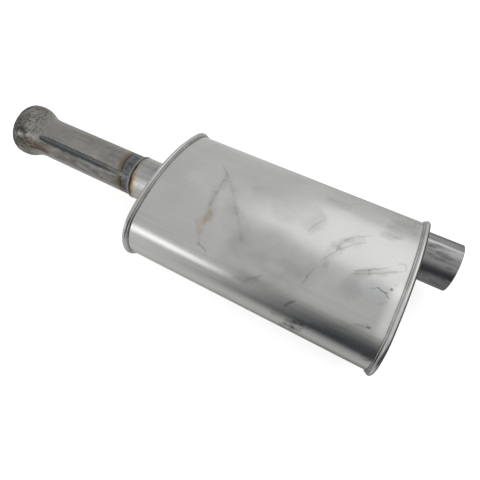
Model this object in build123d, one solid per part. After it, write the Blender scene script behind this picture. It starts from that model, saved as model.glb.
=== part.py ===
from build123d import *
import math
import os

# Oval three-pass exhaust muffler with a flared inlet pipe.
# The origin is the centre of the flared inlet mouth. +X runs with the gas to the outlet,
# +Y is the side that the outlet stands on, and +Z is up. All sizes are in millimetres.

# Body: an oval wrap between two pressed heads
BODY_LENGTH = 340.0
BODY_HALF_WIDTH = 105.0
BODY_HALF_HEIGHT = 56.0
SIDE_RADIUS = 44.0
WRAP_THICKNESS = 1.25
HEAD_THICKNESS = 1.25

# Rolled rim, where the edge of each head is curled over the wrap's end and pressed shut
RIM_WIDTH = 8.0
RIM_HEIGHT = 4.2
RIM_BEVEL = 1.4
FOLD_CLEARANCE = 0.15

# Heads, set back inside the rims
HEAD_RECESS = 12.0

# Lock seam along the underside of the wrap
SEAM_WIDTH = 10.0
SEAM_LAYERS = 3
SEAM_END_GAP = 6.0

# The three tubes inside. Two of them run out through the heads as the inlet and outlet necks
TUBE_RADIUS = 31.75
TUBE_WALL = 1.5
NECK_REACH = 47.0
WRAP_MARGIN = 5.95
HOLE_CLEARANCE = 0.1

# Inlet pipe with its flared mouth
PIPE_EXPOSED = 216.0
PIPE_ENGAGEMENT = 38.0
PIPE_WALL = 1.6
SLIP_CLEARANCE = 0.1
MOUTH_RADIUS = 40.3
MOUTH_LIP = 6.0
FLARE_LENGTH = 36.0

# Weld beads on the inlet pipe
JOINT_WELD_LENGTH = 6.0
JOINT_WELD_CROWN = 0.6
PIPE_SEAM_START = 44.0
PIPE_SEAM_ANGLE = 135.5
PIPE_SEAM_WIDTH = 6.5
PIPE_SEAM_CROWN = 1.0

# The two baffles that carry the tubes and make three chambers
TURNING_CHAMBER = 75.0
TUBE_OVERHANG = 20.0
BAFFLE_THICKNESS = 1.25

# Slots of the tubes in the middle chamber
SLOT_LENGTH = 24.0
SLOT_WIDTH = 4.0
SLOT_PITCH = 66.0
SLOT_ROWS = 2
SLOT_MARGIN = 30.0

# Each round bend of the flare is drawn as a few flats, which keeps the solid light
FLARE_STEPS = 2

# Places along X, from the mouth to the outlet
NECK_FACE = PIPE_EXPOSED
BODY_FRONT = NECK_FACE + NECK_REACH
BODY_REAR = BODY_FRONT + BODY_LENGTH
OUTLET_FACE = BODY_REAR + NECK_REACH
FRONT_PANEL = BODY_FRONT + HEAD_RECESS + HEAD_THICKNESS
REAR_PANEL = BODY_REAR - HEAD_RECESS - HEAD_THICKNESS
FRONT_BAFFLE = FRONT_PANEL + TURNING_CHAMBER
REAR_BAFFLE = REAR_PANEL - TURNING_CHAMBER
PIPE_END = NECK_FACE + PIPE_ENGAGEMENT

# Radii that follow from what fits in what
TUBE_BORE = TUBE_RADIUS - TUBE_WALL
PIPE_RADIUS = TUBE_BORE - SLIP_CLEARANCE
TUBE_HOLE = TUBE_RADIUS + HOLE_CLEARANCE

# How far the outlet stands off to the side, with the return tube as far to the other side
OUTLET_OFFSET = BODY_HALF_WIDTH - WRAP_MARGIN - TUBE_RADIUS

# The oval: two side arcs joined by two wide face arcs that meet them without a corner
SIDE_CENTRE = BODY_HALF_WIDTH - SIDE_RADIUS
FACE_RADIUS = (SIDE_CENTRE**2 + BODY_HALF_HEIGHT**2 - SIDE_RADIUS**2) / (2 * (BODY_HALF_HEIGHT - SIDE_RADIUS))
FACE_CENTRE = FACE_RADIUS - BODY_HALF_HEIGHT
JOIN_ANGLE = math.degrees(math.atan2(FACE_CENTRE, SIDE_CENTRE))
SIDE_TURN = 2 * JOIN_ANGLE
FACE_TURN = 180 - SIDE_TURN
# Each arc is its centre's Y and Z, its radius, its first angle and the angle that it turns
OVAL_ARCS = [
    (SIDE_CENTRE, 0, SIDE_RADIUS, -JOIN_ANGLE, SIDE_TURN),
    (0, -FACE_CENTRE, FACE_RADIUS, JOIN_ANGLE, FACE_TURN),
    (-SIDE_CENTRE, 0, SIDE_RADIUS, 180 - JOIN_ANGLE, SIDE_TURN),
    (0, FACE_CENTRE, FACE_RADIUS, 180 + JOIN_ANGLE, FACE_TURN),
]

# Levels of the head's skirt, measured outward from the wrap's outer face
SKIRT_FACE = -(WRAP_THICKNESS + FOLD_CLEARANCE)
SKIRT_INSIDE = SKIRT_FACE - HEAD_THICKNESS


def sheet_leg(start, end, bottom, top):
    """A straight stretch of sheet in a section drawn as (along the body, outward)."""
    centre = Pos((start + end) / 2, (bottom + top) / 2)
    return centre * Rectangle(end - start, top - bottom)


def bend_points(centre, radius, first_angle, turn, flats):
    """The corners of a round bend that is drawn as so many equal flats."""
    angles = [math.radians(first_angle + turn * step / flats) for step in range(flats + 1)]
    return [(centre[0] + radius * math.cos(a), centre[1] + radius * math.sin(a)) for a in angles]


def outline_face(points):
    """The flat face inside a closed outline of straight edges."""
    return make_face(Polyline(*points, close=True))


def around_oval(section):
    """Carry a section drawn as (along the body, outward) once round the oval."""
    band = Part()
    for centre_y, centre_z, radius, first_angle, turn in OVAL_ARCS:
        angle = math.radians(first_angle)
        outward = Vector(0, math.cos(angle), math.sin(angle))
        centre = Vector(0, centre_y, centre_z)
        section_plane = Plane(
            origin=centre + outward * radius,
            x_dir=(1, 0, 0),
            z_dir=Vector(1, 0, 0).cross(outward),
        )
        band += revolve(section_plane * section, Axis(centre, (1, 0, 0)), turn)
    return band


def oval_plate(outward, start, thickness):
    """A flat plate across the body whose edge follows the oval, moved outward or inward."""
    edge = [
        CenterArc((centre_y, centre_z), radius + outward, first_angle, turn)
        for centre_y, centre_z, radius, first_angle, turn in OVAL_ARCS
    ]
    return extrude(Plane.YZ.offset(start) * make_face(edge), thickness)


def tube_along_x(start, end, outer_radius, wall, side=0.0):
    """A plain round tube along X, its axis moved sideways along Y."""
    ring = Circle(outer_radius) - Circle(outer_radius - wall)
    return extrude(Plane.YZ.offset(start) * Pos(side, 0) * ring, end - start)


def round_hole(start, end, radius, side=0.0):
    """The round bar along X that is cut out for a hole."""
    return extrude(Plane.YZ.offset(start) * Pos(side, 0) * Circle(radius), end - start)


def revolve_about_x(points, side=0.0):
    """Turn an outline drawn as (along X, radius) once round a line along X."""
    return Pos(0, side, 0) * revolve(outline_face(points), Axis.X)


def lock_seam():
    """The pressed fold along the underside: a round nose, a flat back and a ramp to the wrap."""
    height = SEAM_LAYERS * WRAP_THICKNESS
    half_width = SEAM_WIDTH / 2
    root = -BODY_HALF_HEIGHT + WRAP_THICKNESS / 2
    crest = -BODY_HALF_HEIGHT - height
    nose_centre = -half_width + height / 2
    nose_top = Line((nose_centre, root), (nose_centre, crest + height))
    nose = ThreePointArc(
        (nose_centre, crest + height), (-half_width, crest + height / 2), (nose_centre, crest)
    )
    back = Line((nose_centre, crest), (half_width - height, crest))
    ramp = Line((half_width - height, crest), (half_width, root))
    closing = Line((half_width, root), (nose_centre, root))
    outline = make_face([nose_top, nose, back, ramp, closing])
    start = BODY_FRONT + RIM_WIDTH + SEAM_END_GAP
    end = BODY_REAR - RIM_WIDTH - SEAM_END_GAP
    return extrude(Plane.YZ.offset(start) * outline, end - start)


def make_shell():
    """The wrap: one sheet rolled to the oval, seamed underneath and held by the rims at its ends."""
    inset = HEAD_THICKNESS + FOLD_CLEARANCE
    section = sheet_leg(inset, BODY_LENGTH - inset, -WRAP_THICKNESS, 0)
    return Pos(BODY_FRONT, 0, 0) * around_oval(section) + lock_seam()


def make_head(side):
    """A head with its rim face at X = 0, its panel set back along +X and a hole for one tube."""
    panel_back = HEAD_RECESS + HEAD_THICKNESS
    recess = [(HEAD_RECESS, SKIRT_INSIDE), (0, SKIRT_INSIDE)]
    rim = [
        (0, RIM_HEIGHT - RIM_BEVEL),
        (RIM_BEVEL, RIM_HEIGHT),
        (RIM_WIDTH - RIM_BEVEL, RIM_HEIGHT),
        (RIM_WIDTH, FOLD_CLEARANCE),
    ]
    groove = [(HEAD_THICKNESS, FOLD_CLEARANCE), (HEAD_THICKNESS, SKIRT_FACE)]
    edge = around_oval(outline_face(recess + rim + groove + [(panel_back, SKIRT_FACE), (panel_back, SKIRT_INSIDE)]))
    panel = oval_plate(SKIRT_INSIDE, HEAD_RECESS, HEAD_THICKNESS)
    return edge + panel - round_hole(HEAD_RECESS, panel_back, TUBE_HOLE, side)


def at_front(piece):
    """Place a piece made on a head at X = 0 on the front of the body."""
    return Pos(BODY_FRONT, 0, 0) * piece


def at_rear(piece):
    """Turn such a piece to face the other way and place it on the rear of the body."""
    return Pos(BODY_REAR, 0, 0) * mirror(piece, about=Plane.YZ)


def make_inlet_pipe():
    """The pipe from its flared mouth to its end in the inlet neck, with one wall all the way."""
    rise = MOUTH_RADIUS - PIPE_RADIUS
    flare_end = MOUTH_LIP + FLARE_LENGTH
    turn = 2 * math.atan2(rise, FLARE_LENGTH)
    bend_radius = FLARE_LENGTH / 2 / math.sin(turn)
    mouth_bend = (MOUTH_LIP, MOUTH_RADIUS - bend_radius)
    pipe_bend = (flare_end, PIPE_RADIUS + bend_radius)

    def wall_line(depth):
        """One face of the wall, from the mouth to the pipe's end, so far inside the outer one."""
        opening = bend_points(mouth_bend, bend_radius - depth, 90, -math.degrees(turn), FLARE_STEPS)
        closing = bend_points(
            pipe_bend, bend_radius + depth, -90 - math.degrees(turn), math.degrees(turn), FLARE_STEPS
        )
        return [(0, MOUTH_RADIUS - depth)] + opening[:-1] + closing + [(PIPE_END, PIPE_RADIUS - depth)]

    return revolve_about_x(wall_line(0) + wall_line(PIPE_WALL)[::-1])


def make_joint_weld():
    """The weld ring that fills the step from the pipe up to the end of the neck."""
    toe = (NECK_FACE - JOINT_WELD_LENGTH, PIPE_RADIUS)
    corner = (NECK_FACE, PIPE_RADIUS)
    crest = (NECK_FACE, TUBE_RADIUS + JOINT_WELD_CROWN)
    return revolve_about_x([toe, corner, crest])


def make_pipe_seam_weld():
    """The bead along the pipe, lying on its round surface and running into the joint weld."""
    half_angle = math.degrees(PIPE_SEAM_WIDTH / 2 / PIPE_RADIUS)
    seat = CenterArc((0, 0), PIPE_RADIUS, PIPE_SEAM_ANGLE - half_angle, 2 * half_angle)
    middle = math.radians(PIPE_SEAM_ANGLE)
    crest_radius = PIPE_RADIUS + PIPE_SEAM_CROWN
    crest = (crest_radius * math.cos(middle), crest_radius * math.sin(middle))
    crown = ThreePointArc(seat @ 1, crest, seat @ 0)
    section = Plane.YZ.offset(PIPE_SEAM_START) * make_face([seat, crown])
    return extrude(section, NECK_FACE - PIPE_SEAM_START) - make_joint_weld()


def make_baffle(front_x):
    """An oval plate inside the wrap with a hole for each inner tube."""
    baffle = oval_plate(SKIRT_FACE, front_x, BAFFLE_THICKNESS)
    for side in (-OUTLET_OFFSET, 0, OUTLET_OFFSET):
        baffle -= round_hole(front_x, front_x + BAFFLE_THICKNESS, TUBE_HOLE, side)
    return baffle


def make_tube(start, end, side):
    """A tube through the body with staggered rings of slots where it crosses the middle chamber."""
    first_ring = FRONT_BAFFLE + SLOT_MARGIN
    ring_count = int((REAR_BAFFLE - SLOT_MARGIN - first_ring) / SLOT_PITCH) + 1
    slots = []
    for ring in range(ring_count):
        for row in range(SLOT_ROWS):
            angle = 360 / SLOT_ROWS * (row + ring % 2 / 2)
            place = Pos(first_ring + ring * SLOT_PITCH, side, 0) * Rot(angle, 0, 0) * Pos(0, TUBE_RADIUS, 0)
            slots.append(place * Box(SLOT_LENGTH, 4 * TUBE_WALL, SLOT_WIDTH))
    return tube_along_x(start, end, TUBE_RADIUS, TUBE_WALL, side) - slots


front_overhang = FRONT_BAFFLE - TUBE_OVERHANG
rear_overhang = REAR_BAFFLE + TUBE_OVERHANG

parts = {
    "shell": make_shell(),
    "inlet_head": at_front(make_head(0)),
    "outlet_head": at_rear(make_head(OUTLET_OFFSET)),
    "front_baffle": make_baffle(FRONT_BAFFLE),
    "rear_baffle": make_baffle(REAR_BAFFLE - BAFFLE_THICKNESS),
    "inlet_tube": make_tube(NECK_FACE, rear_overhang, 0),
    "return_tube": make_tube(front_overhang, rear_overhang, -OUTLET_OFFSET),
    "outlet_tube": make_tube(front_overhang, OUTLET_FACE, OUTLET_OFFSET),
    "inlet_pipe": make_inlet_pipe(),
    "pipe_welds": make_joint_weld() + make_pipe_seam_weld(),
}

os.makedirs("parts", exist_ok=True)
for name, part in parts.items():
    export_step(part, f"parts/{name}.step")
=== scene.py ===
# %% [markdown]
# # An oval exhaust muffler, dressed for a photograph
#
# The real object is an oval can of satin sheet steel with a rolled rim at each end, a raw steel
# pipe with a flared mouth welded to its inlet, and a bare tube as its outlet. The solids come
# from the CAD model. This lesson gives them smooth surfaces, weld beads and worn metal.

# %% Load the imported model
import math

import bpy
from mathutils import Matrix, Vector


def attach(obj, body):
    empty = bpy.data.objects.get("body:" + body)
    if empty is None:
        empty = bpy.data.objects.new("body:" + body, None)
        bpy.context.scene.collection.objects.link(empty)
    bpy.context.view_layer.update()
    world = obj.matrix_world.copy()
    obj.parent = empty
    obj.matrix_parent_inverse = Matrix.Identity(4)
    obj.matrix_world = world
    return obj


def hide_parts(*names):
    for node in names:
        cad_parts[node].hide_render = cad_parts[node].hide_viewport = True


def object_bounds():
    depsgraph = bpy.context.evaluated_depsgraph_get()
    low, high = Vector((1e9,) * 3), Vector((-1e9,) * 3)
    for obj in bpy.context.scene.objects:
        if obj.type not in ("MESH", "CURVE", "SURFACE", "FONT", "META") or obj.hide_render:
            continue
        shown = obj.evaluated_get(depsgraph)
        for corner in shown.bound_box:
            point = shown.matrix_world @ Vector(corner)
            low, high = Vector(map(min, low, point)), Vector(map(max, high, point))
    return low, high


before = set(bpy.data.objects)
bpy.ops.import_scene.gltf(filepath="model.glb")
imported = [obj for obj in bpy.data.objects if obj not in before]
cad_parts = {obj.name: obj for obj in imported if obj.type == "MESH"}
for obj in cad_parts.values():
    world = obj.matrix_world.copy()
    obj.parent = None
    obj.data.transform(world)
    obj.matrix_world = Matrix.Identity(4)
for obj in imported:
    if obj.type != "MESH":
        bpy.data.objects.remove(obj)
cad_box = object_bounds()
print("nodes:", ", ".join(sorted(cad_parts)))

# %% [markdown]
# The sizes below are those of the solids, in metres. The oval is four arcs that meet without a
# corner, so any point on it is one arc's centre plus a radius along an angle. A list of such
# points, each with the direction that faces outwards, is what every swept piece here follows.

# %% The oval that the body follows
MM = 0.001
BODY_FRONT, BODY_REAR = 263 * MM, 603 * MM
HALF_WIDTH, HALF_HEIGHT, SIDE_RADIUS = 105 * MM, 56 * MM, 44 * MM
SIDE_CENTRE = HALF_WIDTH - SIDE_RADIUS
FACE_RADIUS = (SIDE_CENTRE**2 + HALF_HEIGHT**2 - SIDE_RADIUS**2) / (2 * (HALF_HEIGHT - SIDE_RADIUS))
FACE_CENTRE = FACE_RADIUS - HALF_HEIGHT
JOIN = math.atan2(FACE_CENTRE, SIDE_CENTRE)


def oval_stations(side_steps, face_steps):
    """Points once round the oval, each as (y, z, outward y, outward z)."""
    arcs = [
        (SIDE_CENTRE, 0, SIDE_RADIUS, -JOIN, 2 * JOIN, side_steps),
        (0, -FACE_CENTRE, FACE_RADIUS, JOIN, math.pi - 2 * JOIN, face_steps),
        (-SIDE_CENTRE, 0, SIDE_RADIUS, math.pi - JOIN, 2 * JOIN, side_steps),
        (0, FACE_CENTRE, FACE_RADIUS, math.pi + JOIN, math.pi - 2 * JOIN, face_steps),
    ]
    stations = []
    for cy, cz, radius, first, turn, steps in arcs:
        for k in range(steps):
            angle = first + turn * k / steps
            ny, nz = math.cos(angle), math.sin(angle)
            stations.append((cy + radius * ny, cz + radius * nz, ny, nz))
    return stations


around = oval_stations(72, 56)
print("stations round the oval:", len(around))

# %% [markdown]
# A swept wall is a grid of points that closes on itself both ways: once round the path, and once
# round the wall's own section. One helper turns such a grid into a mesh. It shades the mesh
# smoothly and marks as sharp only the edges that really are, so that arcs reflect as arcs do.

# %% Helpers that make a mesh from a closed grid
SHARP_ANGLE = math.radians(38)


def placed(name, data):
    """A new object for a mesh, curve, light or camera, linked to the scene."""
    thing = bpy.data.objects.new(name, data)
    bpy.context.scene.collection.objects.link(thing)
    return thing


def measured(*pieces):
    """Print the size and the number of faces of each piece."""
    for piece in pieces:
        sides = [round(v, 4) for v in piece.dimensions]
        print(piece.name, sides, len(piece.data.polygons), "faces")


def volume_sign(points, faces):
    """Above zero when the faces of a closed mesh point outwards."""
    total = 0.0
    for face in faces:
        a = Vector(points[face[0]])
        for k in range(1, len(face) - 1):
            total += a.dot(Vector(points[face[k]]).cross(Vector(points[face[k + 1]])))
    return total


def closed_piece(name, points, faces, finish):
    """A smooth piece from a closed mesh, its faces turned outwards."""
    if volume_sign(points, faces) < 0:
        faces = [tuple(reversed(face)) for face in faces]
    mesh = bpy.data.meshes.new(name)
    mesh.from_pydata(points, [], faces)
    mesh.materials.append(finish.material)
    mesh.validate()
    mesh.update()
    mesh.shade_smooth()
    mesh.set_sharp_from_angle(angle=SHARP_ANGLE)
    return placed(name, mesh)


def closed_grid(name, rows, finish):
    """A piece from rows of points, where the last row meets the first and each row is a ring."""
    count, width = len(rows), len(rows[0])
    faces = []
    for i in range(count):
        for j in range(width):
            a, b = i * width + j, i * width + (j + 1) % width
            c, d = (i + 1) % count * width + (j + 1) % width, (i + 1) % count * width + j
            faces.append((a, b, c, d))
    return closed_piece(name, [p for row in rows for p in row], faces, finish)


def arc(centre_a, centre_b, radius, first_deg, last_deg, steps, radius_b=None):
    """Points of an arc in a section, elliptical when a second radius is given."""
    out = []
    for k in range(steps + 1):
        angle = math.radians(first_deg + (last_deg - first_deg) * k / steps)
        rise = (radius_b or radius) * math.sin(angle)
        out.append((centre_a + radius * math.cos(angle), centre_b + rise))
    return out


print("mesh helpers ready")

# %% [markdown]
# A finish is a material whose colour, roughness and relief change over the surface. Node by node
# that is long to write, so three small classes do the wiring. A Number wraps a socket, and sums
# and products of Numbers add the Math nodes. A Tree adds any other node and its links. A Finish is
# the tree of one material and offers the few moves that every metal here needs: soft steps, cloudy
# noise, stains of colour, and smears, which are soft ovals drawn on the part's own coordinates.
# Everything reads Object coordinates. All pieces stand in the same frame, so a stain keeps its
# place whatever piece it lies on.

# %% Numbers, trees and finishes
TO_MM = 1000
TO_DEGREES = 180 / math.pi


class Number:
    """A number inside a node tree. Arithmetic on it adds Math nodes."""

    def __init__(self, tree, socket):
        self.tree, self.socket = tree, socket

    def __add__(self, other):
        return self.tree.maths("ADD", self, other)

    def __sub__(self, other):
        return self.tree.maths("SUBTRACT", self, other)

    def __rsub__(self, other):
        return self.tree.maths("SUBTRACT", other, self)

    def __mul__(self, other):
        return self.tree.maths("MULTIPLY", self, other)

    def __truediv__(self, other):
        return self.tree.maths("DIVIDE", self, other)

    __radd__, __rmul__ = __add__, __mul__


class Tree:
    """A node tree as it is wired up."""

    def __init__(self, wires):
        self.wires = wires

    def node(self, kind, values=None, **settings):
        """Any node: its settings come first, then values or links for its sockets."""
        node = self.wires.nodes.new(kind)
        for key, value in settings.items():
            setattr(node, key, value)
        for key, value in (values or {}).items():
            self.give(node.inputs[key], value)
        return node

    def give(self, socket, value):
        """Lead a Number or a link to a socket, or set the socket's own value."""
        value = value.socket if isinstance(value, Number) else value
        if isinstance(value, bpy.types.NodeSocket):
            self.wires.links.new(value, socket)
        else:
            socket.default_value = value

    def first(self, kind, values=None, **settings):
        """The first output of a new node."""
        return self.node(kind, values, **settings).outputs[0]

    def maths(self, operation, first, second=0.0):
        made = self.first("ShaderNodeMath", {0: first, 1: second}, operation=operation)
        return Number(self, made)


class Finish(Tree):
    """One material as it is built up, with the part's coordinates and its colour so far."""

    def __init__(self, name, metallic=1.0):
        self.material = bpy.data.materials.new(name)
        self.material.use_nodes = True
        super().__init__(self.material.node_tree)
        self.shader = self.wires.nodes["Principled BSDF"].inputs
        self.shader["Metallic"].default_value = metallic
        self.place = self.node("ShaderNodeTexCoord").outputs["Object"]
        split = self.node("ShaderNodeSeparateXYZ", {0: self.place}).outputs
        self.x, self.y, self.z = (Number(self, split[k]) for k in range(3))

    def vector(self, operation, first, second):
        values = {0: first, 1: second}
        return self.node("ShaderNodeVectorMath", values, operation=operation).outputs

    def rise(self, value, low, high, top=1.0):
        """0 at low, the top value at high and a soft slope between; low may be the larger one."""
        values = {"Value": value, "From Min": low, "From Max": high, "To Max": top}
        made = self.first("ShaderNodeMapRange", values, interpolation_type="SMOOTHSTEP")
        return Number(self, made)

    def band(self, value, low, high, soft):
        """1 between low and high, with soft sides."""
        return self.rise(value, low - soft, low + soft) * self.rise(value, high + soft, high - soft)

    def noise(self, scale, detail, stretch, shift, low, high):
        """Cloudy noise from 0 to 1, stretched along the part's axes."""
        values = {"Vector": self.place, "Location": (shift, 0.7 * shift, -shift), "Scale": stretch}
        moved = self.first("ShaderNodeMapping", values)
        cloud = {"Vector": moved, "Scale": scale, "Detail": detail}
        return self.rise(self.first("ShaderNodeTexNoise", cloud), low, high)

    def blend(self, factor, first, second, kind="MIX"):
        """Two colours, each a triple or a link, mixed by a factor."""
        values = {0: factor}
        for socket, value in ((6, first), (7, second)):
            values[socket] = (*value, 1) if isinstance(value, tuple) else value
        return self.node("ShaderNodeMix", values, data_type="RGBA", blend_type=kind).outputs[2]

    def stain(self, factor, colour):
        """Lay a colour over the finish where the factor is above 0."""
        self.tone = self.blend(factor, self.tone, colour)

    def shade(self, amount):
        """Make the finish darker or lighter by a number."""
        self.tone = self.blend(1.0, self.tone, amount, "MULTIPLY")

    def ramp(self, value, stops):
        """A colour that runs through the stops, each (position, colour), as a number rises."""
        made = self.node("ShaderNodeValToRGB", {0: value})
        elements = made.color_ramp.elements
        for k, (position, colour) in enumerate(stops):
            stop = elements[k] if k < 2 else elements.new(position)
            stop.position, stop.color = position, (*colour, 1)
        return made.outputs[0]

    def chart(self, axes, wobble=0.004, scale=45.0):
        """Coordinates flattened along one axis and bent a little, for marks made by hand."""
        cloud = self.node("ShaderNodeTexNoise", {"Vector": self.place, "Scale": scale, "Detail": 2.0})
        shake = self.vector("SUBTRACT", cloud.outputs["Color"], (0.5, 0.5, 0.5))[0]
        bend = self.vector("MULTIPLY", shake, (wobble, wobble, wobble))[0]
        return self.vector("MULTIPLY", self.vector("ADD", self.place, bend)[0], axes)[0]

    def smear(self, chart, start, end, radius, strength=1.0, total=0.0):
        """A soft oval round two points in millimetres, added to a total."""
        start, end, radius = Vector(start) * MM, Vector(end) * MM, radius * MM
        apart = (end - start).length
        away = [Number(self, self.vector("DISTANCE", chart, tuple(p))["Value"]) for p in (start, end)]
        rim = math.sqrt(apart**2 + 4 * radius**2)
        return self.rise(away[0] + away[1], rim, apart, strength) + total

    def finish(self, roughness, height, distance, strength):
        """Join the results to the shader."""
        self.give(self.shader["Base Color"], self.tone)
        self.give(self.shader["Roughness"], roughness)
        values = {"Height": height, "Distance": distance, "Strength": strength}
        self.give(self.shader["Normal"], self.first("ShaderNodeBump", values))
        print(self.material.name, "has", len(self.wires.nodes), "nodes")


print("finish helpers ready")

# %% [markdown]
# The body is aluminised sheet: mild steel with a thin coat of aluminium, satin rather than
# bright. In the photograph it shows fine lines along its length, cloudy marks from handling, a tan
# stain, a crease-like mark in the shape of a V, and scratches near the outlet end. The marks are
# placed one by one in millimetres, because each of them is where it is by accident.

# %% The sheet's own colour and grain
sheet = Finish("satin_aluminised_sheet")
clouds = sheet.noise(7.0, 4.0, (1, 1.4, 1.4), 1.3, 0.3, 0.7)
hand_marks = sheet.noise(22.0, 5.0, (0.7, 1.2, 1.2), 4.1, 0.35, 0.7)
rolling = sheet.noise(260.0, 2.0, (0.035, 1, 1), 7.7, 0.3, 0.7)
fine_grain = sheet.noise(1500.0, 1.0, (0.5, 1, 1), 2.2, 0.3, 0.7)
on_top = sheet.rise(sheet.z, 0.012, 0.022)
top_chart = sheet.chart((1, 1, 0), 0.026, 42.0)
side_chart = sheet.chart((1, 0, 1))
fine_chart = sheet.chart((1, 1, 0), 0.0026, 150.0)
SMEAR_SPREAD = 1.15


def all_marks(chart, marks, upright=False):
    """The summed strength of marks on the top, or on the upright near side."""
    total = 0.0
    for x_a, across_a, x_b, across_b, radius, strength in marks:
        start = (x_a, 0, across_a) if upright else (x_a, across_a, 0)
        end = (x_b, 0, across_b) if upright else (x_b, across_b, 0)
        total = sheet.smear(chart, start, end, radius * SMEAR_SPREAD, strength, total)
    return total


print("sheet grain ready")

# %% [markdown]
# Each mark below runs from one point to another. Its six numbers are the two points, in
# millimetres along the body and across it (upwards for the side), then its radius and strength.
# A strength below zero makes the place brighter, a painted highlight. Among the soft marks,
# those at 310 and 440 mm are painted highlights and the one at 425 mm is painted shade.

# %% The marks on the sheet
soft_marks_and_painted_light = [
    (338, 33, 349, 8, 4, 0.12), (349, 10, 350, -14, 5, 0.13), (348, -10, 353, -34, 7, 0.11),
    (352, -30, 357, -50, 10, 0.1), (342, 28, 364, 2, 7, 0.08), (362, 4, 386, -28, 11, 0.09),
    (380, -20, 406, -56, 18, 0.1), (404, -64, 482, -60, 46, 0.17), (492, -72, 506, -34, 13, 0.1),
    (504, -36, 516, -10, 9, 0.1), (512, -12, 524, 8, 9, 0.12), (520, 0, 538, 14, 9, 0.09),
    (470, -9, 484, 18, 9, 0.05), (538, -36, 560, -24, 7, 0.14), (556, -26, 582, -13, 6, 0.12),
    (542, -38, 546, -60, 11, 0.12), (476, 52, 506, 62, 12, 0.1), (554, 50, 586, 58, 12, 0.16),
    (565, 66, 588, 70, 10, 0.12), (391, 12, 394, 24, 8, 0.08), (297, 75, 320, 83, 9, 0.08),
    (552, 36, 577, 37, 7, 0.12), (420, -95, 448, -82, 6, 0.12), (445, -80, 470, -74, 12, 0.08),
    # The broad marks at 310 and 440 mm are painted highlights, the one at 425 mm painted shade.
    (543, -91, 578, -81, 7, 0.12), (310, 5, 385, 5, 30, -0.08), (425, 8, 485, 14, 24, 0.08),
    (440, 62, 560, 60, 18, -0.07),
]
sharp_dark = [
    (583.8, -32.4, 583.4, -33.6, 2.4, 0.56), (568, -37, 578, -39.6, 1.1, 0.5),
    (577, -39.5, 582, -38.2, 1, 0.34), (577.5, -39, 585, -44, 1.2, 0.34),
    (562, -42, 569, -38.5, 1.1, 0.18), (584.5, -27, 588, -24, 1.1, 0.16),
    (575, -79.8, 579, -79.2, 1.7, 0.46), (560, -82.5, 576, -80, 1.4, 0.14),
    (496, -86.5, 486, -95, 1.7, 0.4), (365, -77.5, 378, -81.5, 1.6, 0.18),
    (504, 63.5, 521, 75, 1.8, 0.16), (472, 59, 487, 56, 2.1, 0.12), (556, 36, 575, 35.5, 1.7, 0.14),
    (538, -31.5, 557, -21, 1.7, 0.17), (555, -22, 573, -9, 1.6, 0.16),
    (540, -34, 566, -21, 1.7, 0.14), (564, -22, 589, -6, 1.5, 0.13), (580, 0, 589, 4, 1.5, 0.12),
    (588.5, 4, 590.5, -5.5, 1.5, 0.12), (515, -1.5, 525, 10.5, 1.7, 0.12),
    (523, 9, 542, 23, 1.7, 0.11), (515, -14.5, 527, -1, 1.8, 0.15), (525, -2, 541, 12, 1.6, 0.11),
    (515, -2, 514, -17, 2.1, 0.12), (514.5, -15, 502, -37, 2, 0.12),
    (495, -70, 496.5, -57, 1.7, 0.13), (496, -60, 500, -46, 1.7, 0.13),
    (474, -9, 478, 6, 1.8, 0.11), (477, 4, 486, 18, 1.8, 0.1), (330, 40, 347, 26, 2, 0.09),
    (346, 28, 349, 0, 2.3, 0.12), (349, 3, 352, -31, 2.3, 0.1), (346, 27, 369, 0, 2.1, 0.08),
    (367, 3, 389, -27, 2.5, 0.08), (386, -22, 411, -55, 2.8, 0.07), (584, 66, 585, 83, 2.3, 0.1),
    (433, -91, 451, -78, 2.1, 0.11), (530, -93, 556, -90, 1.6, 0.12),
    (576, -54, 585, -47, 1.6, 0.11),
]
side_dark = [
    (496, 8, 512, 17, 11, 0.34), (497, 9, 490, -6, 6.6, 0.28), (503, 1, 510, 6, 7.7, 0.45),
    (500, 14, 524, 20, 5.5, 0.25), (474, 14, 498, 12, 5, 0.19), (583, 15, 593, 17, 5.5, 0.3),
    (520, 24, 560, 26, 5.5, 0.14), (400, 2, 425, 4, 3.3, 0.1),
]
wear_and_painted_light = all_marks(top_chart, soft_marks_and_painted_light) * on_top
wear_and_painted_light = wear_and_painted_light * (0.55 + sheet.noise(48.0, 4.0, (0.8, 1, 1), 17.0, 0.3, 0.7) * 0.7)
scratched = all_marks(fine_chart, sharp_dark) * on_top
on_near_side = sheet.rise(sheet.y, -0.086, -0.092)
scuffed = all_marks(side_chart, side_dark, upright=True) * on_near_side
scuffed = scuffed * (0.35 + sheet.noise(230.0, 4.0, (0.6, 1, 1), 3.3, 0.36, 0.62) * 0.9)
stain_break = 0.45 + sheet.noise(85.0, 4.0, (1, 1, 1), 14.0, 0.35, 0.65) * 0.75
tan_stain = sheet.smear(top_chart, (357, -68, 0), (354, -38, 0), 11.0, 1.25) * on_top * stain_break
tan_stain = tan_stain + sheet.smear(top_chart, (352, -36, 0), (359, -58, 0), 5.0) * on_top * 0.5
tan_stain = tan_stain + sheet.smear(fine_chart, (357, -66, 0), (366, -79, 0), 2.6) * on_top * 0.7
orange_mark = sheet.smear(fine_chart, (363, -76.5, 0), (366, -78.5, 0), 3.0) * on_top
blue_patch = sheet.smear(top_chart, (553, -45, 0), (576, -44, 0), 24) * on_top
# A painted highlight on the wrap beside the rear rim, on the near side.
painted_rim_highlight = sheet.band(sheet.x, 0.585, 0.600, 0.006) * sheet.rise(sheet.y, -0.015, -0.042)
painted_rim_highlight = painted_rim_highlight * sheet.rise(sheet.y, -0.1, -0.07)
hood = sheet.rise(sheet.y, -0.05, -0.09)
print("marks in the lists:", len(soft_marks_and_painted_light) + len(sharp_dark) + len(side_dark))
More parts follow.
